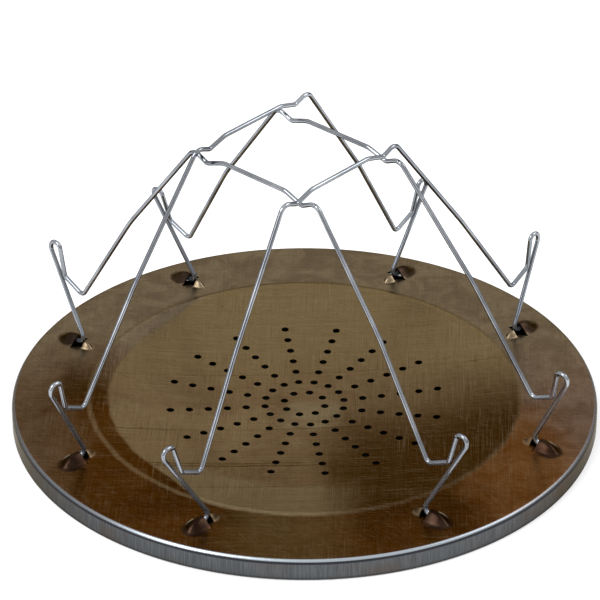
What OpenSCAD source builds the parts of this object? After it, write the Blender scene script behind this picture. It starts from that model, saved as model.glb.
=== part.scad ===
// Folding camping toaster: a perforated pan with four hooked wire frames.
// Units are millimetres. The pan stands on z = 0 and its axis is the z axis.
// The left and right frames hinge along y, the front and back frames along x.

/* [Pan] */
// Diameter of the round pan
plate_d = 230; // [215:1:300]
// Height of the pan, from the foot of its skirt to its flat rim
plate_h = 8.5; // [7:0.5:20]
// Thickness of the sheet steel
sheet_t = 0.8; // [0.5:0.1:1.2]
// Outer radius of the corner between the rim and the skirt
corner_r = 1.8; // [1.4:0.1:4]
// Diameter of the pressed crease round the dished middle
crease_d = 172; // [150:1:180]
// Height of the crease above the flat rim
crease_rise = 0.4; // [0.2:0.1:0.6]
// Width of the crease's slope
crease_w = 2; // [1:0.5:4]
// Depth of the dish, from the crease to the centre
dish_depth = 5; // [0.5:0.1:6]

/* [Holes] */
// Diameter of each air hole
hole_d = 3; // [1.5:0.1:4]
// Number of hole rows that run out from the centre
row_count = 16; // [8:2:20]
// Number of holes in each row
row_holes = 6; // [3:1:8]
// Distance from the centre to the first hole of each row
first_hole_r = 15.7; // [14:0.1:20]
// Distance from one hole of a row to the next
hole_pitch = 7.5; // [5:0.1:8.5]
// Distance from the centre to the inner ring of holes, on every other row
inner_ring_r = 8.2; // [6:0.1:9.5]
// Turn of the first row from the x axis, in degrees
row_turn = 5.6; // [0:0.1:22.5]

/* [Hinge lugs] */
// Distance from the pan's centre to each frame's hinge line
hinge_side = 32.6; // [30:0.1:40]
// Flat rim left outside the tip of each lug
rim_land = 6; // [3:0.1:8]
// Length of a lug's dome, from its mouth to its tip
dome_len = 11; // [10:0.5:16]
// Height of a dome above the rim, at its mouth
dome_h = 3.7; // [3.6:0.1:5.5]
// Depth of a dome's axis below the rim
dome_sink = 1.6; // [1.2:0.1:2]
// Length of the dome's blunt front part, which holds the pin
dome_front = 5; // [4.5:0.5:6]
// Narrowing of the dome's radius over its blunt front part
dome_draw = 0.4; // [0.2:0.1:0.5]
// Gap cut between a dome and the small dome behind it
slot_w = 3.9; // [3:0.1:5]
// Height of the small dome above the rim
heel_h = 2.5; // [1.5:0.1:3]
// Length of the small dome
heel_len = 4; // [3:0.1:6]
// Height of the small dome's axis above the large one's
heel_lift = 0.7; // [0.4:0.1:1]

/* [Wire frames] */
// Diameter of the wire
wire_d = 1.8; // [1.4:0.1:2]
// Height of the cross bar above the rim, when a lower frame stands upright
frame_h = 109.5; // [95:0.1:125]
// Height of the back frame's cross bar above a lower one's
back_raise = 3; // [2.9:0.1:3.6]
// Height of the front frame's cross bar above a lower one's
front_raise = 5.9; // [3:0.1:6.5]
// Lean of the left frame towards the middle, in degrees
left_lean = 2.3; // [1.9:0.1:2.7]
// Lean of the right frame towards the middle, in degrees
right_lean = 7.3; // [6.8:0.1:7.8]
// Lean of the front frame towards the middle, in degrees
front_lean = 1.6; // [1.2:0.1:2]
// Lean of the back frame towards the middle, in degrees
back_lean = 3.1; // [2.8:0.1:3.3]
// Distance by which the front frame's top is pushed to the left
front_skew = 13; // [10:0.1:14]
// Clear gap between the wire and the pan under it
rest_gap = 0.3; // [0.2:0.1:0.4]
// Length of a hinge pin inside its dome
pin_len = 4.4; // [3:0.1:4.8]
// Lean of the outer leg, away from the middle, in degrees
leg_lean = 28.4; // [22:0.1:30]
// Height above the rim at which the outer leg turns upright
elbow_h = 37.5; // [34:0.1:37.6]
// Height of the hook's top above the rim
hook_h = 41; // [40.9:0.1:46]
// Width of the hook, between the centres of its two strands
hook_w = 4.6; // [4.5:0.1:6]
// Height of the bread ledge's outer corner above the rim
ledge_h = 27.7; // [22:0.1:30]
// Length of the bread ledge, measured level
ledge_len = 10; // [9:0.1:16]
// Fall of the ledge towards the middle
ledge_drop = 4.9; // [1:0.1:6]
// Clear gap between the outer leg and the ledge's corner
strand_gap = 0.4; // [0.4:0.05:1.5]
// Distance from a frame's middle to the bow of its long side strand
bow_side = 64.3; // [62:0.1:66]
// Height of that bow above the rim
bow_h = 66; // [60:0.5:70]
// Distance from a frame's middle to each shoulder
shoulder_side = 31.2; // [30:0.1:32]
// Height of a shoulder's corner above the cross bar, before it is rounded
shoulder_top = 0.2; // [0:0.1:1]
// Distance from a frame's middle to each notch of its cross bar
notch_side = 24.2; // [23.4:0.1:24.8]
// Depth of the notch in a lower frame's cross bar
notch_depth = 2.9; // [1:0.1:3.2]
// Depth of the same notch in an upper frame
upper_notch = 2.4; // [1:0.1:2.6]
// Level distance from the notch to the straight of the cross bar
bar_step = 8.5; // [5:0.1:10]

/* [Wire bends] */
// Bend radius at the foot, on the wire's centre line
foot_bend = 2.5; // [1.5:0.1:2.8]
// Bend radius of the elbow below the hook
elbow_bend = 3; // [2:0.1:3.4]
// Bend radius of the hook
hook_bend = 2.2; // [1.5:0.1:2.2]
// Bend radius of the ledge's two corners
ledge_bend = 2.5; // [1.5:0.1:3]
// Bend radius of the bowed side strand
bow_bend = 60; // [20:1:100]
// Bend radius of the shoulder
shoulder_bend = 4; // [2:0.1:4.5]
// Bend radius of the notch
notch_bend = 2.2; // [1.5:0.1:3]
// Bend radius where the cross bar falls towards the notch
bar_bend = 9; // [3:0.5:12]
// Depth of a notch's corner below its rounded bottom
notch_bottom = 0.2; // [0:0.1:0.6]

/* [Hidden] */
$fn = 48;
bend_swell = 0.04;
bend_lap = 0.1;

// Pan
plate_r = plate_d / 2;
crease_r = crease_d / 2;
dish_r = crease_r - crease_w;
dish_ball = (dish_r * dish_r + dish_depth * dish_depth) / (2 * dish_depth);
dish_floor = plate_h + crease_rise - dish_depth;

// Lugs
dome_r = dome_h + dome_sink;
dome_neck = dome_r - dome_draw;
heel_sink = dome_sink - heel_lift;
heel_r = heel_h + heel_sink;
mouth_b = sqrt(pow(plate_r - rim_land, 2) - pow(hinge_side, 2)) - dome_len;

// Wire frame, as sideways distance b from the middle and height h above the rim
pin_h = wire_d / 2 + rest_gap;
pin_tip_b = mouth_b + pin_len;
foot_reach = mouth_b - slot_w + wire_d / 2 + rest_gap;
ledge_end_h = ledge_h - ledge_drop;

// Share of a frame's skew at height h, from none at the pin to all of it at the cross bar
function share(h, bar_h) = (h - pin_h) / (bar_h - pin_h);

// Corner points of half a frame, from the pin's tip to the cross bar, each with its bend radius.
// The cross bar is at height bar_h and is pushed sideways by skew, which slants the outer leg too.
function half_frame(bar_h, notch, skew) =
    let (
        slant = atan(tan(leg_lean) + skew / (bar_h - pin_h)),
        foot_b = foot_reach - foot_bend * (tan((90 + slant) / 2) - 1),
        hook_b = foot_b + (elbow_h - pin_h) * tan(slant),
        ledge_b = foot_b + (ledge_h - pin_h) * tan(slant) - (wire_d + strand_gap) / cos(slant)
    ) [
        [pin_tip_b, pin_h, 0],
        [foot_b, pin_h, foot_bend],
        [hook_b, elbow_h, elbow_bend],
        [hook_b, hook_h, hook_bend],
        [hook_b - hook_w, hook_h, hook_bend],
        [ledge_b, ledge_h, ledge_bend],
        [ledge_b - ledge_len, ledge_end_h, ledge_bend],
        [bow_side + skew * share(bow_h, bar_h), bow_h, bow_bend],
        [shoulder_side + skew, bar_h + shoulder_top, shoulder_bend],
        [notch_side + skew, bar_h - notch - notch_bottom, notch_bend],
        [notch_side - bar_step + skew, bar_h, bar_bend]
    ];

// The same points on the other side, in the order that runs away from the cross bar
function other_half(half) = [for (i = [len(half) - 1:-1:0]) [-half[i][0], half[i][1], half[i][2]]];

function spot(p) = [p[0], p[1]];
function heading(p, q) = atan2(q[1] - p[1], q[0] - p[0]);
function turn_by(a, b) = let (d = b - a) d > 180 ? d - 360 : d < -180 ? d + 360 : d;
function bend_turn(pts, i) = turn_by(heading(pts[i - 1], pts[i]), heading(pts[i], pts[i + 1]));

// Length that the bend at corner i takes from the straights on each side of it
function setback(pts, i) =
    i == 0 || i == len(pts) - 1 ? 0 : pts[i][2] * tan(abs(bend_turn(pts, i)) / 2);

// How far a straight reaches into the bend at corner i
function lap(pts, i) = i == 0 || i == len(pts) - 1 ? 0 : bend_lap;

// Wire of diameter d bent in the xy plane along corner points [x, y, bend radius].
// A bend is thicker by bend_swell, as cold-bent wire is, and takes in the ends of its straights.
module bent_wire(pts, d) {
    for (i = [0:len(pts) - 2]) {
        way = heading(pts[i], pts[i + 1]);
        start = setback(pts, i) - lap(pts, i);
        end = norm(spot(pts[i + 1]) - spot(pts[i])) - setback(pts, i + 1) + lap(pts, i + 1);
        translate(spot(pts[i]) + start * [cos(way), sin(way)])
            rotate([0, 90, way])
                cylinder(h = end - start, d = d);
    }
    for (i = [1:len(pts) - 2]) {
        way = heading(pts[i - 1], pts[i]);
        turn = bend_turn(pts, i);
        side = turn > 0 ? 1 : -1;
        centre = spot(pts[i]) - setback(pts, i) * [cos(way), sin(way)]
            + side * pts[i][2] * [-sin(way), cos(way)];
        translate(centre)
            rotate(way - side * 90 + min(turn, 0))
                rotate_extrude(angle = abs(turn))
                    translate([pts[i][2], 0])
                        circle(d = d + bend_swell);
    }
}

// One frame that stands on the hinge line at x = -hinge_side and leans towards the middle
module wire_frame(lean, bar_h, notch, skew) {
    half = half_frame(bar_h, notch, skew);
    mirrored = half_frame(bar_h, notch, -skew);
    translate([-hinge_side, 0, plate_h + pin_h])
        rotate([0, lean, 0])
            translate([0, 0, -pin_h])
                rotate([90, 0, 90])
                    bent_wire(concat(half, other_half(mirrored)), wire_d);
}

module wire_frame_left() {
    color("silver") wire_frame(left_lean, frame_h, notch_depth, 0);
}

module wire_frame_right() {
    color("silver") rotate(180) wire_frame(right_lean, frame_h, notch_depth, 0);
}

module wire_frame_front() {
    color("gainsboro") rotate(90) wire_frame(front_lean, frame_h + front_raise, upper_notch, front_skew);
}

module wire_frame_back() {
    color("gainsboro") rotate(-90) wire_frame(back_lean, frame_h + back_raise, upper_notch, 0);
}

// Section of the pan: skirt, rounded corner, flat rim, crease and dish
module pan_section() {
    translate([plate_r - sheet_t, 0])
        square([sheet_t, plate_h - corner_r]);
    translate([plate_r - corner_r, plate_h - corner_r])
        intersection() {
            difference() {
                circle(r = corner_r);
                circle(r = corner_r - sheet_t);
            }
            square(corner_r + 1);
        }
    translate([crease_r, plate_h - sheet_t])
        square([plate_r - corner_r - crease_r, sheet_t]);
    polygon([
        [crease_r, plate_h - sheet_t],
        [crease_r, plate_h],
        [dish_r, plate_h + crease_rise],
        [dish_r, plate_h + crease_rise - sheet_t]
    ]);
    intersection() {
        translate([0, dish_floor + dish_ball])
            difference() {
                circle(r = dish_ball + sheet_t, $fn = 1800);
                circle(r = dish_ball, $fn = 1800);
            }
        square([dish_r, plate_h + crease_rise]);
    }
}

// Air holes, drilled through the dish
module air_holes() {
    for (i = [0:row_count - 1])
        rotate(row_turn + i * 360 / row_count) {
            for (j = [0:row_holes - 1])
                translate([first_hole_r + j * hole_pitch, 0, 0])
                    cylinder(h = plate_h + 5, d = hole_d);
            if (i % 2 == 1)
                translate([inner_ring_r, 0, 0])
                    cylinder(h = plate_h + 5, d = hole_d);
        }
}

// Both hinge ends of all four frames, with +y outward and z = 0 on the rim
module at_lugs() {
    for (quarter = [0:90:270])
        rotate(quarter)
            for (side = [-1, 1])
                translate([side * hinge_side, mouth_b, plate_h])
                    children();
}

// Dome with its mouth at y = 0, thinner all round by skin
module dome(skin) {
    translate([0, 0, -dome_sink])
        rotate([-90, 0, 0]) {
            cylinder(h = dome_front, r1 = dome_r - skin, r2 = dome_neck - skin);
            translate([0, 0, dome_front])
                cylinder(h = dome_len - dome_front, r1 = dome_neck - skin, r2 = dome_sink - skin);
        }
}

// Small dome behind the slot, tapering towards the middle of the pan
module heel(skin) {
    translate([0, -slot_w, -heel_sink])
        rotate([90, 0, 0])
            cylinder(h = heel_len, r1 = heel_r - skin, r2 = heel_sink - skin / 2);
}

// Everything of a lug that stands above the underside of the sheet
module lug_blank(skin) {
    intersection() {
        union() {
            dome(skin);
            heel(skin);
        }
        translate([-dome_r - 1, -slot_w - heel_len - 1, -sheet_t])
            cube([2 * dome_r + 2, slot_w + heel_len + dome_len + 2, dome_h + sheet_t + 1]);
    }
}

module base_plate() {
    color("dimgray")
        difference() {
            union() {
                rotate_extrude($fn = 180) pan_section();
                at_lugs() lug_blank(0);
            }
            air_holes();
            at_lugs() {
                dome(sheet_t);
                heel(sheet_t);
                translate([-dome_r, -slot_w, -2 * sheet_t])
                    cube([2 * dome_r, slot_w, 4 * sheet_t]);
            }
        }
}

base_plate();
wire_frame_left();
wire_frame_right();
wire_frame_front();
wire_frame_back();
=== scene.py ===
"""Looks, light and camera for the folding camping toaster."""
import math

import bpy
import numpy as np
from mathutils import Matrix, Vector
from mathutils.geometry import delaunay_2d_cdt


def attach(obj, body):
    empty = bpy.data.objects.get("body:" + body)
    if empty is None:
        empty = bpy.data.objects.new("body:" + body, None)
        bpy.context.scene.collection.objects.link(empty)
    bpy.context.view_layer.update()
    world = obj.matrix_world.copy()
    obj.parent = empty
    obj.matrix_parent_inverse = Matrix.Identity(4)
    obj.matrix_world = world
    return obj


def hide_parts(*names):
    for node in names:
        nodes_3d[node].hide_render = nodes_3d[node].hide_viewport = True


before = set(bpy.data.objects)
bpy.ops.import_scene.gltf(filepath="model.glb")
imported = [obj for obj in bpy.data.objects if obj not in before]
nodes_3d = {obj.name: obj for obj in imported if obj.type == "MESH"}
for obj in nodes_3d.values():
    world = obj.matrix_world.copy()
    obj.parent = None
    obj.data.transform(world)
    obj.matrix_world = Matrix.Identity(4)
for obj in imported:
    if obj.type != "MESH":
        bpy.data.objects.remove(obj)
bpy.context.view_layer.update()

# Sizes of the pan, in metres
PAN_TOP = 0.0085
PAN_R = 0.115
SHEET = 0.0008
CORNER_R = 0.0018
CREASE_R = 0.086
CREASE_RISE = 0.0004
CREASE_W = 0.002
CREASE_SOFT = 0.00006
DISH_DEPTH = 0.005
DISH_PAST = 0.004

# The flat pattern's radius where the corner begins, where it ends and at the skirt's foot
FLAT_R = PAN_R - CORNER_R
ARC_END = FLAT_R + CORNER_R * math.pi / 2
PATTERN_R = ARC_END + PAN_TOP - CORNER_R

# The 104 air holes, in rows out from the centre
HOLE_R = 0.0015
HOLE_ROWS = 16
ROW_TURN = 5.6
ROW_HOLES = 6
FIRST_HOLE = 0.0157
HOLE_PITCH = 0.0075
INNER_RING = 0.0082

# The pressed lugs, measured along b outward and a sideways from each hinge line
HINGE_SIDE = 0.0326
MOUTH = 0.093
SLOT_W = 0.0039
SLIT_W = 0.0006
SLIT_HALF = 0.0049
NOTCH_HALF = 0.0016
SLOT_IN = MOUTH - SLOT_W
SLIT_IN = MOUTH - SLIT_W

# The dome in front of each mouth, and the small heel behind each slot
DOME_LEN = 0.0085
DOME_H = 0.0037
DOME_HALF = 0.0044
DOME_ROUND = 0.0014
DOME_FALL = 2.6
DOME_FILLET = 0.0012
HEEL_LEN = 0.0038
HEEL_H = 0.0023
HEEL_HALF = 0.0024
HEEL_ROUND = 0.001
HEEL_FALL = 1.8
HEEL_FILLET = 0.0004
FALL_PAST = 1.3

# Spacing of the pattern's points
RING_STEP = 0.0018
CREASE_STEP = 0.0003
OUTER_STEP = 0.0016
FINE_SPACING = 0.0012
RING_TURN = 0.7
SKIRT_POINTS = 480
CORNER_STEPS = 8
SKIRT_STEPS = 5
HOLE_POINTS = 28
HOLE_OUTER_POINTS = 18
TINY = 1e-7

# The finer grid over each lug: its field and the steps between its stops
LUG_SIDE = 0.0076
LUG_IN = 0.0838
LUG_OUT = 0.1058
NOTCH_STEPS, SLIT_STEPS, SIDE_STEPS = 5, 8, 5
IN_STEPS, SLOT_STEPS, MOUTH_STEPS, OUT_STEPS = 15, 9, 2, 35

# Camera, fitted to the rim, the holes and the frames
TURN = math.radians(-47.86)
ELEVATION = math.radians(31.03)
DISTANCE = 1.6
AIM = (-0.0018, 0.0715)
LENS = 234.6

# Brown lines across the middle: place, half width and strength
BROWN_LINES = (
    (-0.0443, 0.00022, 0.8),
    (-0.0461, 0.0003, 0.9),
    (-0.0186, 0.00018, 0.7),
    (0.0215, 0.00015, 0.35),
    (-0.0625, 0.00018, 0.35),
)

# Lamps: name, place to the right, away from the camera and up, size and power
LAMPS = (
    ("key", (-0.9, -0.6, 1.5), 0.9, 14.0),
    ("fill", (1.1, 0.2, 1.1), 0.8, 6.0),
    ("side", (-1.1, -0.9, 0.55), 0.5, 2.5),
)
LAMP_AIM = Vector((0, 0, 0.04))

FLOOR_HALF = 6.0
FLOOR_DROP = 0.0004
WHITE = (1.0, 1.0, 1.0, 1.0)


def turned(right, away, up):
    """A point given as right in the photo, away from the camera and up."""
    return Vector((
        right * math.cos(TURN) - away * math.sin(TURN),
        right * math.sin(TURN) + away * math.cos(TURN),
        up,
    ))


def make_camera():
    data = bpy.data.cameras.new("camera")
    data.sensor_width = 36.0
    data.lens = LENS
    data.clip_start = 0.05
    data.clip_end = 60.0
    camera = bpy.data.objects.new("camera", data)
    bpy.context.scene.collection.objects.link(camera)
    target = turned(AIM[0], AIM[1], PAN_TOP)
    back = turned(0, -math.cos(ELEVATION), math.sin(ELEVATION))
    camera.location = target + back * DISTANCE
    camera.rotation_mode = "QUATERNION"
    camera.rotation_quaternion = (-back).to_track_quat("-Z", "Y")
    bpy.context.scene.camera = camera


# The pressed pan: one sheet with soft-edged lugs, built over a flat pattern
def rounded_max(height, blend):
    """The larger of height and 0, with a round fillet where they meet."""
    fillet = (height + blend) ** 2 / (4 * blend)
    return np.where(height < -blend, 0.0, np.where(height > blend, height, fillet))


def ridge(a, height, half, rounding):
    """A roof with sloping sides and a rounded top, which comes down to 0 at half on each side."""
    fall = height / (math.hypot(half, rounding) - rounding)
    return height - fall * (np.hypot(a, rounding) - rounding)


def lug_axes(u, v):
    """Distance outward, and distance sideways from the nearest lug's middle line."""
    low = np.minimum(np.abs(u), np.abs(v))
    outward = np.maximum(np.abs(u), np.abs(v))
    return outward, np.abs(low - HINGE_SIDE)


def lug_height(u, v):
    """Height of the domes and heels above the sheet at points of the pattern."""
    b, a = lug_axes(u, v)
    out = np.clip((b - MOUTH) / DOME_LEN, 0.0, FALL_PAST)
    roof = ridge(a, DOME_H, DOME_HALF, DOME_ROUND)
    dome = rounded_max(roof - DOME_H * out ** DOME_FALL, DOME_FILLET)
    back = np.clip((SLOT_IN - b) / HEEL_LEN, 0.0, FALL_PAST)
    roof = ridge(a, HEEL_H, HEEL_HALF, HEEL_ROUND)
    heel = rounded_max(roof - HEEL_H * back ** HEEL_FALL, HEEL_FILLET)
    return np.where(b > MOUTH - TINY, dome, np.where(b < SLOT_IN + TINY, heel, 0.0))


def press(u, v):
    """Upper surface over points of the pattern, whose outer part folds down as the skirt."""
    along = np.hypot(u, v)
    safe = np.maximum(along, 1e-9)
    bend = np.clip((along - FLAT_R) / CORNER_R, 0.0, math.pi / 2)
    drop = np.maximum(along - FLAT_R - CORNER_R * math.pi / 2, 0.0)
    radius = np.minimum(along, FLAT_R) + CORNER_R * np.sin(bend)
    height = PAN_TOP - CORNER_R * (1 - np.cos(bend)) - drop

    # Part of a sphere for the dish, and the crease's outer slope, softly joined
    dish_r = CREASE_R - CREASE_W
    ball = (dish_r ** 2 + DISH_DEPTH ** 2) / (2 * DISH_DEPTH)
    reach = np.minimum(along, dish_r + DISH_PAST)
    dish = ball - np.sqrt(ball ** 2 - reach ** 2) - DISH_DEPTH + CREASE_RISE
    slope = np.maximum((CREASE_R - along) / CREASE_W * CREASE_RISE, 0.0)
    apart = np.sqrt((dish - slope) ** 2 + CREASE_SOFT ** 2)
    both = 0.5 * (dish + slope - apart) + CREASE_SOFT * 0.25
    height = height + np.where(along < CREASE_R, both, 0.0)

    height = height + lug_height(u, v)
    return np.stack([u / safe * radius, v / safe * radius, height], 1)


def hole_centres():
    centres = []
    for row in range(HOLE_ROWS):
        angle = math.radians(ROW_TURN + row * 360 / HOLE_ROWS)
        reach = [FIRST_HOLE + step * HOLE_PITCH for step in range(ROW_HOLES)]
        if row % 2 == 1:
            reach.append(INNER_RING)
        centres += [(r * math.cos(angle), r * math.sin(angle)) for r in reach]
    return np.array(centres)


def hole_gap(u, v, centres):
    """Distance from each point to the nearest hole's centre."""
    apart = np.hypot(u[:, None] - centres[None, :, 0], v[:, None] - centres[None, :, 1])
    return np.min(apart, axis=1)


def is_cut(u, v, centres):
    """True where the pattern is cut away: the air holes and the lugs' openings."""
    outward, sideways = lug_axes(u, v)
    notch = (sideways < NOTCH_HALF) & (outward > SLOT_IN) & (outward < MOUTH)
    slit = (sideways < SLIT_HALF) & (outward > SLIT_IN) & (outward < MOUTH)
    return (hole_gap(u, v, centres) < HOLE_R * 0.99) | notch | slit


def ring_points(radius, count, turn=0.0):
    angles = turn + np.arange(count) * (2 * math.pi / count)
    return np.stack([radius * np.cos(angles), radius * np.sin(angles)], 1)


def joined_steps(stops, counts):
    """Values from the first stop to the last, each stretch in its own count of equal steps."""
    values = [np.array(stops[:1])]
    for start, end, count in zip(stops, stops[1:], counts):
        values.append(np.linspace(start, end, count + 1)[1:])
    return np.concatenate(values)


def sheet_points(centres):
    """Points of the pan and its skirt, with room left for the holes and the lugs."""
    radii = np.concatenate([
        np.arange(RING_STEP, CREASE_R - 0.0035, RING_STEP),
        np.arange(CREASE_R - 0.0032, CREASE_R + 0.0006, CREASE_STEP),
        np.arange(CREASE_R + OUTER_STEP, FLAT_R - 0.0005, OUTER_STEP),
    ])
    rings = [np.zeros((1, 2))]
    for index, radius in enumerate(radii):
        spacing = FINE_SPACING if abs(radius - CREASE_R) < 0.004 else RING_STEP
        count = max(8, round(2 * math.pi * radius / spacing))
        rings.append(ring_points(radius, count, index * RING_TURN))
    for radius in joined_steps([FLAT_R, ARC_END, PATTERN_R], [CORNER_STEPS, SKIRT_STEPS]):
        rings.append(ring_points(radius, SKIRT_POINTS))
    points = np.concatenate(rings)
    gap = hole_gap(points[:, 0], points[:, 1], centres)
    outward, sideways = lug_axes(points[:, 0], points[:, 1])
    near_lug = (sideways < LUG_SIDE + 0.0003) & (outward > LUG_IN - 0.0004)
    near_lug &= outward < LUG_OUT + 0.0004
    return points[(gap > HOLE_R * 1.9) & ~near_lug]


def lug_grid():
    """Points of one lug's grid as (a, b), and the edges of its opening by point number."""
    half = joined_steps(
        [0.0, NOTCH_HALF, SLIT_HALF, LUG_SIDE],
        [NOTCH_STEPS, SLIT_STEPS, SIDE_STEPS],
    )
    across = np.concatenate([-half[:0:-1], half])
    outward = joined_steps(
        [LUG_IN, SLOT_IN, SLIT_IN, MOUTH, LUG_OUT],
        [IN_STEPS, SLOT_STEPS, MOUTH_STEPS, OUT_STEPS],
    )
    number = {}
    for i, a in enumerate(across):
        for j, b in enumerate(outward):
            in_notch = abs(a) < NOTCH_HALF - TINY and SLOT_IN + TINY < b < MOUTH - TINY
            in_slit = abs(a) < SLIT_HALF - TINY and SLIT_IN + TINY < b < MOUTH - TINY
            if not (in_notch or in_slit):
                number[(i, j)] = len(number)

    # Outline of the opening: a notch for the wire, and the slit along the dome's mouth
    mid = len(half) - 1
    notch = NOTCH_STEPS
    slit = notch + SLIT_STEPS
    near = IN_STEPS
    step = near + SLOT_STEPS
    far = step + MOUTH_STEPS
    path = [
        (mid - slit, far), (mid - slit, step), (mid - notch, step), (mid - notch, near),
        (mid + notch, near), (mid + notch, step), (mid + slit, step), (mid + slit, far),
    ]
    edges = []
    for (i, j), (k, m) in zip(path, path[1:] + path[:1]):
        steps = max(abs(k - i), abs(m - j))
        run = [
            number[(i + (k - i) * n // steps, j + (m - j) * n // steps)]
            for n in range(steps + 1)
        ]
        edges += list(zip(run, run[1:]))
    return [(across[i], outward[j]) for i, j in number], edges


def pan_pattern(centres):
    """Points of the flat pattern, and the edges that its triangles have to keep."""
    points = sheet_points(centres)
    parts, edges, count = [points], [], len(points)
    for centre in centres:
        edges += [(count + i, count + (i + 1) % HOLE_POINTS) for i in range(HOLE_POINTS)]
        parts.append(ring_points(HOLE_R, HOLE_POINTS) + centre)
        parts.append(ring_points(HOLE_R * 1.18, HOLE_POINTS, 0.11) + centre)
        parts.append(ring_points(HOLE_R * 1.55, HOLE_OUTER_POINTS) + centre)
        count += 2 * HOLE_POINTS + HOLE_OUTER_POINTS

    grid, opening = lug_grid()
    for side in (-1, 1):
        for end in (-1, 1):
            for turned_lug in (False, True):
                spots = [(side * (HINGE_SIDE + a), end * b) for a, b in grid]
                if turned_lug:
                    spots = [(y, x) for x, y in spots]
                parts.append(np.array(spots))
                edges += [(count + start, count + stop) for start, stop in opening]
                count += len(spots)
    return np.concatenate(parts), edges


def flat_faces():
    """Points of the flat pattern that are used, and its triangles, all turned the same way."""
    centres = hole_centres()
    points, edges = pan_pattern(centres)
    flat = [Vector((float(u), float(v))) for u, v in points]
    found = delaunay_2d_cdt(flat, edges, [], 0, 1e-9)
    spots = np.array([(p.x, p.y) for p in found[0]])
    faces = np.array(found[2])
    middle = spots[faces].mean(axis=1)
    faces = faces[~is_cut(middle[:, 0], middle[:, 1], centres)]
    first, second, third = (spots[faces[:, k]] for k in range(3))
    one = second - first
    two = third - first
    area = one[:, 0] * two[:, 1] - one[:, 1] * two[:, 0]
    solid = np.abs(area) > 1e-13
    faces = faces[solid]
    area = area[solid]
    faces[area < 0] = faces[area < 0][:, ::-1]
    used, faces = np.unique(faces, return_inverse=True)
    return spots[used], faces.reshape(-1, 3)


def make_pan():
    spots, faces = flat_faces()
    top = press(spots[:, 0], spots[:, 1])

    # Thickness, laid off square to the surface
    normal = np.zeros_like(top)
    corners = [top[faces[:, k]] for k in range(3)]
    face_normal = np.cross(corners[1] - corners[0], corners[2] - corners[0])
    for k in range(3):
        np.add.at(normal, faces[:, k], face_normal)
    normal /= np.linalg.norm(normal, axis=1)[:, None]
    under = top - normal * SHEET

    # Walls between both surfaces, along every side that only one triangle has
    count = len(top)
    sides = {}
    for a, b, c in faces.tolist():
        sides.update({(a, b): True, (b, c): True, (c, a): True})
    walls = [(b, a, a + count, b + count) for a, b in sides if (b, a) not in sides]
    polygons = faces.tolist() + (faces[:, ::-1] + count).tolist() + walls
    mesh = bpy.data.meshes.new("pan_pressed")
    mesh.from_pydata(np.concatenate([top, under]).tolist(), [], polygons)
    mesh.validate()
    mesh.shade_smooth()
    mesh.set_sharp_from_angle(angle=math.radians(35))
    pan = bpy.data.objects.new("pan_pressed", mesh)
    bpy.context.scene.collection.objects.link(pan)
    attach(pan, "pan")
    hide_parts("base_plate")
    return pan


# Node helpers
class Graph:
    """The node tree of a material or a world, with short calls for the nodes used here."""

    def __init__(self, owner):
        owner.use_nodes = True
        self.tree = owner.node_tree
        self.tree.nodes.clear()

    def node(self, kind, settings=None, **inputs):
        made = self.tree.nodes.new(kind)
        for name, value in (settings or {}).items():
            setattr(made, name, value)
        for name, value in inputs.items():
            self.put(made, name, value)
        return made

    def put(self, made, name, value):
        """Link or set one input, given by its name or by its number as in i0."""
        numbered = name[0] == "i" and name[1:].isdigit()
        socket = made.inputs[int(name[1:]) if numbered else name.replace("_", " ")]
        if isinstance(value, bpy.types.NodeSocket):
            self.tree.links.new(value, socket)
        else:
            socket.default_value = value

    def math(self, operation, a, b=0.0, c=0.0):
        return self.node("ShaderNodeMath", {"operation": operation}, i0=a, i1=b, i2=c).outputs[0]

    def add(self, first, *others):
        for other in others:
            first = self.math("ADD", first, other)
        return first

    def times(self, first, *others):
        for other in others:
            first = self.math("MULTIPLY", first, other)
        return first

    def minus(self, a, b):
        return self.math("SUBTRACT", a, b)

    def length(self, a, b):
        return self.math("SQRT", self.add(self.times(a, a), self.times(b, b)))

    def centred(self, noise, spread):
        """A noise shifted to lie round 0 and scaled."""
        return self.times(self.minus(noise, 0.5), spread)

    def ramp(self, value, low, high, out_low=0.0, out_high=1.0):
        """Smooth step of value from low to high."""
        settings = {"interpolation_type": "SMOOTHSTEP"}
        made = self.node("ShaderNodeMapRange", settings, i0=value, i1=low, i2=high)
        made.inputs[3].default_value = out_low
        made.inputs[4].default_value = out_high
        return made.outputs[0]

    def band(self, value, low, high, soft):
        """1 between low and high, fading out over soft on both sides."""
        return self.times(self.ramp(value, low - soft, low), self.ramp(value, high + soft, high))

    def mix(self, share, a, b):
        made = self.tree.nodes.new("ShaderNodeMix")
        made.data_type = "RGBA"
        self.put(made, "i0", share)
        self.put(made, "i6", a)
        self.put(made, "i7", b)
        return made.outputs[2]

    def noise(self, place, scale, detail, rough=0.55, warp=0.0):
        return self.node(
            "ShaderNodeTexNoise", None, Vector=place, Scale=scale, Detail=detail, Roughness=rough,
            Distortion=warp,
        ).outputs[0]

    def vector(self, x, y, z):
        return self.node("ShaderNodeCombineXYZ", None, X=x, Y=y, Z=z).outputs[0]

    def stretched(self, place, spin, sizes):
        """Coordinates turned by spin degrees about z, then scaled along each axis."""
        made = self.node("ShaderNodeMapping", {"vector_type": "TEXTURE"}, Vector=place)
        made.inputs["Rotation"].default_value = (0, 0, math.radians(spin))
        made.inputs["Scale"].default_value = sizes
        return made.outputs[0]


def rgb(code):
    """Linear colour from a written sRGB one."""
    parts = [int(code[i:i + 2], 16) / 255 for i in (0, 2, 4)]
    linear = [p / 12.92 if p <= 0.04045 else ((p + 0.055) / 1.055) ** 2.4 for p in parts]
    return tuple(linear) + (1.0,)


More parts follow.
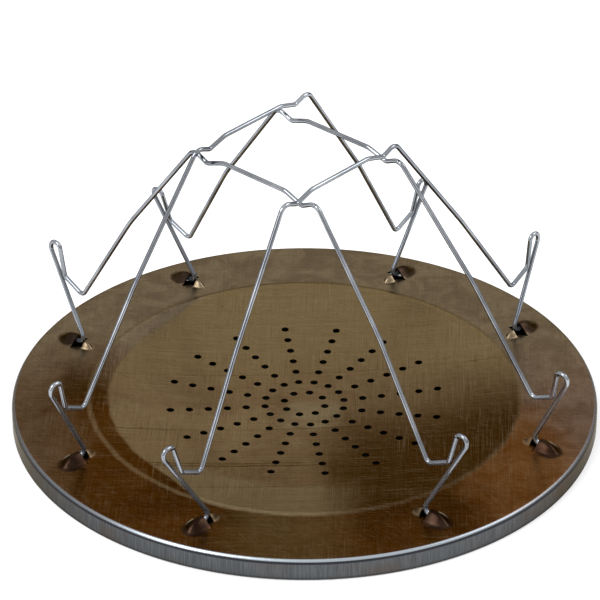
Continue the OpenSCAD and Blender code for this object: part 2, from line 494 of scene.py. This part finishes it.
class PanPlace:
    """Where a point of the pan lies, and the noises that its tints share."""

    def __init__(self, g):
        self.spot = g.node("ShaderNodeTexCoord").outputs["Object"]
        split = g.node("ShaderNodeSeparateXYZ", None, Vector=self.spot)
        self.x, self.y, self.z = split.outputs[0], split.outputs[1], split.outputs[2]
        self.radius = g.length(self.x, self.y)
        self.around = g.math("ARCTAN2", self.y, self.x)

        # In metres from the pan's centre, to the right in the photo and away from the camera
        cos_turn, sin_turn = math.cos(TURN), math.sin(TURN)
        self.right = g.add(g.times(self.x, cos_turn), g.times(self.y, sin_turn))
        self.away = g.minus(g.times(self.y, cos_turn), g.times(self.x, sin_turn))

        # Broad clouds of heat tint, and smears along the photo's width
        self.spin = math.degrees(TURN)
        self.cloud = g.noise(self.spot, 22.0, 5.0, 0.6, warp=0.6)
        self.small = g.noise(self.spot, 80.0, 5.0, 0.6, warp=1.0)
        smeared = g.stretched(self.spot, self.spin, (0.06, 0.009, 0.06))
        self.smear = g.noise(smeared, 1.0, 5.0, 0.6, warp=0.4)
        self.wander = g.centred(self.cloud, 0.06)


def ring_tint(g, at):
    """Outer ring: dark brown in front, redder at the right, greyer at the left and the back; heat
    tint, with painted reflection in the dark front and in the grey left and back.
    """
    # Dark brown everywhere first, kept in front: heat tint and painted dark reflection
    ring = g.mix(g.ramp(at.cloud, 0.35, 0.66), rgb("351b03"), rgb("4a2a0c"))
    ring = g.mix(g.ramp(at.smear, 0.52, 0.75, 0.0, 0.25), ring, rgb("5a4226"))
    to_right = g.ramp(g.add(at.right, at.wander), 0.045, 0.085)
    mottled = g.ramp(at.small, 0.3, 0.7)
    ring = g.mix(to_right, ring, g.mix(mottled, rgb("5d3616"), rgb("6d4a2b")))
    far_right = g.ramp(g.add(at.right, g.times(at.away, 0.5), at.wander), 0.06, 0.1)
    ring = g.mix(far_right, ring, g.mix(mottled, rgb("5f4a3c"), rgb("766052")))
    to_left = g.times(g.ramp(g.minus(at.wander, at.right), 0.084, 0.112), 0.9)
    ring = g.mix(to_left, ring, g.mix(at.small, rgb("4d3a2a"), rgb("6a5744")))
    # Greyer towards the back: heat tint and painted pale reflection
    to_back = g.ramp(g.add(at.away, at.wander), -0.012, 0.055)
    back_tint = g.mix(g.ramp(at.small, 0.35, 0.68), rgb("685a48"), rgb("7a6b56"))
    ring = g.mix(to_back, ring, back_tint)
    # Painted reflection: a paler patch in the ring's front middle
    near_middle = g.ramp(g.math("ABSOLUTE", g.add(at.right, 0.006)), 0.034, 0.006)
    painted_front_reflection = g.times(near_middle, g.ramp(at.away, -0.06, -0.09))
    front_reflection_tint = g.mix(at.small, rgb("4b3a1e"), rgb("6a5538"))
    return g.mix(g.times(painted_front_reflection, 0.6), ring, front_reflection_tint)


def middle_tint(g, at):
    """Dished middle, paler and olive, and how clear a point is of its painted dark reflection and
    shade.
    """
    middle = g.mix(g.ramp(at.cloud, 0.34, 0.68), rgb("66513a"), rgb("7a664a"))
    middle = g.mix(g.ramp(at.small, 0.5, 0.78, 0.0, 0.4), middle, rgb("857558"))
    middle = g.mix(g.ramp(at.away, -0.01, 0.06), middle, rgb("766446"))

    # Painted dark reflection and shade: a dark brown zone in the right front
    painted_dark_reflection = g.times(
        g.ramp(g.add(at.right, at.wander), -0.006, 0.024),
        g.ramp(g.add(at.away, g.times(at.right, -0.3)), 0.016, -0.046),
    )
    middle = g.mix(g.times(painted_dark_reflection, 0.9), middle, rgb("331b06"))
    clear = g.minus(1.0, painted_dark_reflection)

    # A scraped patch
    slant = g.add(at.away, g.times(at.right, -0.07))
    slant = g.add(slant, g.centred(at.small, 0.0022))
    frayed = g.add(slant, g.centred(at.small, 0.012))
    patch = g.times(
        g.band(g.add(at.right, at.wander), -0.006, 0.008, 0.009),
        g.band(frayed, -0.0165, -0.001, 0.005),
        g.ramp(at.smear, 0.35, 0.6, 0.35, 1.0),
    )
    middle = g.mix(g.times(patch, 0.42), middle, rgb("8a7f63"))

    # A paler band inside the crease, and brown lines
    pale_band = g.times(
        g.band(at.radius, 0.066, 0.083, 0.006),
        g.ramp(at.away, -0.04, -0.06),
        clear,
    )
    middle = g.mix(g.times(pale_band, 0.4), middle, rgb("82765b"))
    worn = g.ramp(at.smear, 0.4, 0.55, 0.25, 0.75)
    for level, half, share in BROWN_LINES:
        line = g.times(g.band(slant, level - half, level + half, 0.0005), worn)
        middle = g.mix(g.times(line, share), middle, rgb("3c2409"))
    return middle, clear


def joined_tint(g, at):
    """Middle and ring, parted by the crease."""
    middle, clear = middle_tint(g, at)
    edge = g.add(at.radius, g.centred(at.small, 0.002))
    leftward = g.add(at.right, g.times(at.wander, 0.3))
    left_tint = g.ramp(leftward, -0.036, -0.058, 0.0, 0.008)
    tint = g.mix(g.ramp(g.add(edge, left_tint), 0.0842, 0.0862), middle, ring_tint(g, at))
    crease = g.times(g.ramp(edge, 0.0832, 0.0845), g.ramp(edge, 0.0862, 0.0851))
    crease = g.times(crease, g.math("MULTIPLY_ADD", clear, 0.15, 0.07))
    return g.mix(crease, tint, rgb("9c8a68"))


def scratched_tint(g, at, tint):
    """Fine crossing scratches from wiping and scouring, fainter on the dark ring."""
    def strokes(spin, sizes, detail, rough, warp):
        return g.noise(g.stretched(at.spot, at.spin + spin, sizes), 1.0, detail, rough, warp)

    along = strokes(1.5, (0.03, 0.00022, 0.03), 3.0, 0.55, 0.4)
    across = strokes(-2.0, (0.00022, 0.02, 0.03), 3.0, 0.55, 0.4)
    slanted = strokes(31.0, (0.00016, 0.03, 0.03), 2.0, 0.5, 0.3)
    grain = strokes(74.0, (0.0005, 0.0035, 0.03), 4.0, 0.7, 0.8)
    patches = g.times(g.ramp(g.noise(at.spot, 34.0, 3.0, 0.55), 0.38, 0.62), 0.7)
    weave = g.add(
        g.times(along, g.minus(1.0, patches)),
        g.times(across, g.add(0.3, patches)),
    )
    inside = g.ramp(at.radius, 0.088, 0.084, 0.6, 1.0)
    pale = g.times(g.ramp(weave, 0.66, 0.95), g.times(inside, 0.34))
    tint = g.mix(pale, tint, rgb("a8997c"))
    dark = g.times(g.ramp(weave, 0.62, 0.42), g.times(inside, 0.42))
    tint = g.mix(dark, tint, rgb("241505"))
    tint = g.mix(g.ramp(slanted, 0.7, 0.78, 0.0, 0.35), tint, rgb("b5a78c"))
    tint = g.mix(g.ramp(grain, 0.5, 0.72, 0.0, 0.2), tint, rgb("8f7d62"))
    tint = g.mix(g.ramp(grain, 0.5, 0.3, 0.0, 0.3), tint, rgb("221404"))
    return tint, weave


def lug_tinted(g, at, tint):
    """Hinge lugs and the sheet round them, burnt to a purple brown, with painted highlights on
    the heels and round the domes' feet.
    """
    side_x = g.math("ABSOLUTE", at.x)
    side_y = g.math("ABSOLUTE", at.y)
    outward = g.math("MAXIMUM", side_x, side_y)
    narrow = g.math("ABSOLUTE", g.minus(g.math("MINIMUM", side_x, side_y), HINGE_SIDE))
    long = g.math("ABSOLUTE", g.minus(outward, MOUTH + 0.0036))
    lug = g.length(g.times(narrow, 1.25), long)
    lug_tint = g.mix(g.ramp(at.small, 0.4, 0.65), rgb("1f1410"), rgb("34271f"))
    tint = g.mix(g.ramp(lug, 0.0072, 0.0052, 0.0, 0.92), tint, lug_tint)
    # Painted highlight: a paler patch on each heel
    heel = g.length(narrow, g.minus(outward, SLOT_IN - 0.0014))
    tint = g.mix(g.ramp(heel, 0.0034, 0.002, 0.0, 0.35), tint, rgb("8f8068"))

    # Painted highlight: a paler foot where the sheet round each dome slopes away from the camera
    normal = g.node("ShaderNodeNewGeometry").outputs["Normal"]
    face = g.node("ShaderNodeSeparateXYZ", None, Vector=normal)
    facing_x = g.times(face.outputs[0], math.sin(TURN))
    turned_away = g.minus(g.times(face.outputs[1], math.cos(TURN)), facing_x)
    painted_highlight_foot = g.times(
        g.times(g.ramp(turned_away, 0.05, 0.2), g.ramp(turned_away, 0.6, 0.45)),
        g.times(g.ramp(lug, 0.0048, 0.006), g.ramp(lug, 0.0105, 0.0085)),
    )
    return g.mix(g.times(painted_highlight_foot, 0.7), tint, rgb("d0c5aa"))


def skirt_tint(g, at):
    """Skirt, grey with short upright marks and brown stains, and a band of painted shade under
    the corner.
    """
    marks = g.vector(g.times(at.around, 230.0), g.times(at.z, 120.0), 0.0)
    upright = g.noise(marks, 1.0, 3.0, 0.5)
    stains = g.vector(g.times(at.around, 4.0), g.times(at.z, 60.0), 3.0)
    band = g.noise(stains, 1.0, 3.0)
    skirt = g.mix(g.ramp(upright, 0.3, 0.7), rgb("4b4d50"), rgb("5c5f61"))
    skirt = g.mix(g.ramp(band, 0.45, 0.72, 0.0, 0.55), skirt, rgb("54483f"))
    skirt = g.mix(g.ramp(at.z, 0.0014, 0.0004, 0.0, 0.5), skirt, rgb("2c2a29"))
    # Painted shade: a darker band just under the corner
    painted_shade_under_corner = g.band(at.z, PAN_TOP - 0.0017, PAN_TOP - 0.0012, 0.0003)
    return g.mix(painted_shade_under_corner, skirt, rgb("34353a")), upright


def pan_material():
    material = bpy.data.materials.new("pan_heat_tinted_steel")
    g = Graph(material)
    at = PanPlace(g)
    tint, weave = scratched_tint(g, at, joined_tint(g, at))
    tint = lug_tinted(g, at, tint)
    skirt, upright = skirt_tint(g, at)
    colour = g.mix(g.ramp(at.radius, PAN_R - 0.0013, PAN_R - 0.0005), tint, skirt)

    # Painted highlight: a thin bright bluish line along the corner over the skirt, stronger at
    # the front and the back than at the sides
    painted_rim_highlight = g.times(
        g.ramp(at.radius, PAN_R - 0.0014, PAN_R - 0.001),
        g.ramp(at.z, PAN_TOP - 0.001, PAN_TOP - 0.0007),
    )
    painted_highlight_share = g.ramp(g.math("ABSOLUTE", at.right), 0.095, 0.04, 0.25, 0.9)
    colour = g.mix(g.times(painted_rim_highlight, painted_highlight_share), colour, rgb("b0b9c2"))

    rough = g.add(0.2, g.times(weave, 0.14))
    bump = g.node("ShaderNodeBump", None, Strength=0.16, Distance=0.0001,
                  Height=g.add(weave, g.times(upright, 0.3)))
    shader = g.node("ShaderNodeBsdfPrincipled", None, Base_Color=colour, Metallic=1.0,
                    Roughness=rough, Normal=bump.outputs[0])
    shader.inputs["Specular Tint"].default_value = (0.56, 0.5, 0.42, 1.0)
    g.node("ShaderNodeOutputMaterial", None, Surface=shader.outputs[0])
    return material


def wire_material():
    """Plated wire, greyer near the pan from painted shade and reflection, and less metallic there
    than in the frames' tops.
    """
    material = bpy.data.materials.new("bright_plated_wire")
    g = Graph(material)
    place = g.node("ShaderNodeTexCoord").outputs["Object"]
    height = g.node("ShaderNodeSeparateXYZ", None, Vector=place).outputs[2]
    spots = g.noise(place, 260.0, 4.0, 0.6)
    cloud = g.noise(place, 60.0, 3.0, 0.5)
    drawn = g.noise(g.stretched(place, 0.0, (0.0006, 0.0006, 0.01)), 1.0, 3.0, 0.6)
    plated = g.mix(g.ramp(cloud, 0.4, 0.7), rgb("878b91"), rgb("abafb5"))
    # Painted shade and reflection: darker blue-grey towards the pan
    plated_with_painted_shade = g.mix(g.ramp(height, 0.045, 0.014, 0.0, 0.4), plated, rgb("76808c"))
    colour = g.mix(g.ramp(spots, 0.6, 0.8, 0.0, 0.4), plated_with_painted_shade, rgb("5e5c5a"))
    rough = g.add(0.05, g.times(drawn, 0.1))
    bump = g.node("ShaderNodeBump", None, Strength=0.15, Distance=0.00008, Height=drawn)
    metallic = g.ramp(height, 0.06, 0.03, 1.0, 0.78)
    shader = g.node("ShaderNodeBsdfPrincipled", None, Base_Color=colour, Metallic=metallic,
                    Roughness=rough, Normal=bump.outputs[0])
    shader.inputs["Specular Tint"].default_value = (0.1, 0.11, 0.13, 1.0)
    g.node("ShaderNodeOutputMaterial", None, Surface=shader.outputs[0])
    return material


def give(node, material):
    for slot in nodes_3d[node].material_slots:
        slot.material = material


# Floor: white to the camera and in the metal, with the toaster's soft shadow
def make_floor():
    mesh = bpy.data.meshes.new("floor")
    half = FLOOR_HALF
    corners = [(-half, -half, 0), (half, -half, 0), (half, half, 0), (-half, half, 0)]
    mesh.from_pydata(corners, [], [(0, 1, 2, 3)])
    floor = bpy.data.objects.new("floor", mesh)
    floor.location.z = -FLOOR_DROP
    bpy.context.scene.collection.objects.link(floor)
    material = bpy.data.materials.new("floor_white")
    g = Graph(material)
    rays = g.node("ShaderNodeLightPath").outputs
    place = g.node("ShaderNodeTexCoord").outputs["Object"]
    spot = g.node("ShaderNodeSeparateXYZ", None, Vector=place)
    reach = g.length(spot.outputs[0], spot.outputs[1])

    # Dark under the pan, so that its holes look dark as in the photo
    # Painted shade: the floor under the pan is near black and gets no glow
    open_floor = g.math("GREATER_THAN", reach, PAN_R - 0.002)
    mirrored = g.math("MAXIMUM", rays["Is Glossy Ray"], rays["Is Transmission Ray"])
    seen = g.times(g.math("MAXIMUM", rays["Is Camera Ray"], mirrored), open_floor)
    shade = g.mix(open_floor, (0.02, 0.02, 0.02, 1.0), (0.8, 0.8, 0.8, 1.0))
    paint = g.node("ShaderNodeBsdfDiffuse", None, Color=shade)
    glow = g.node("ShaderNodeEmission", None, Color=WHITE, Strength=g.times(seen, 0.3))
    both = g.node("ShaderNodeAddShader", None, i0=paint.outputs[0], i1=glow.outputs[0])
    g.node("ShaderNodeOutputMaterial", None, Surface=both.outputs[0])
    mesh.materials.append(material)


def make_light():
    world = bpy.data.worlds.new("studio")
    bpy.context.scene.world = world
    g = Graph(world)
    place = g.node("ShaderNodeTexCoord").outputs["Generated"]
    up = g.node("ShaderNodeSeparateXYZ", None, Vector=place).outputs[2]
    room = g.ramp(up, 0.05, 0.5, 0.3, 0.95)
    camera_ray = g.node("ShaderNodeLightPath").outputs["Is Camera Ray"]
    strength = g.math("MAXIMUM", camera_ray, room)
    back = g.node("ShaderNodeBackground", None, Color=WHITE, Strength=strength)
    g.node("ShaderNodeOutputWorld", None, Surface=back.outputs[0])
    for name, spot, size, power in LAMPS:
        data = bpy.data.lights.new(name, "AREA")
        data.shape = "SQUARE"
        data.size = size
        data.energy = power
        lamp = bpy.data.objects.new(name, data)
        lamp.location = turned(*spot)
        lamp.rotation_mode = "QUATERNION"
        lamp.rotation_quaternion = (LAMP_AIM - lamp.location).to_track_quat("-Z", "Y")
        bpy.context.scene.collection.objects.link(lamp)


make_camera()
make_light()
make_floor()
pan = make_pan()
pan.data.materials.append(pan_material())
wire = wire_material()
for side in ("left", "right", "front", "back"):
    give("wire_frame_" + side, wire)

bpy.context.scene.view_settings.view_transform = "Standard"
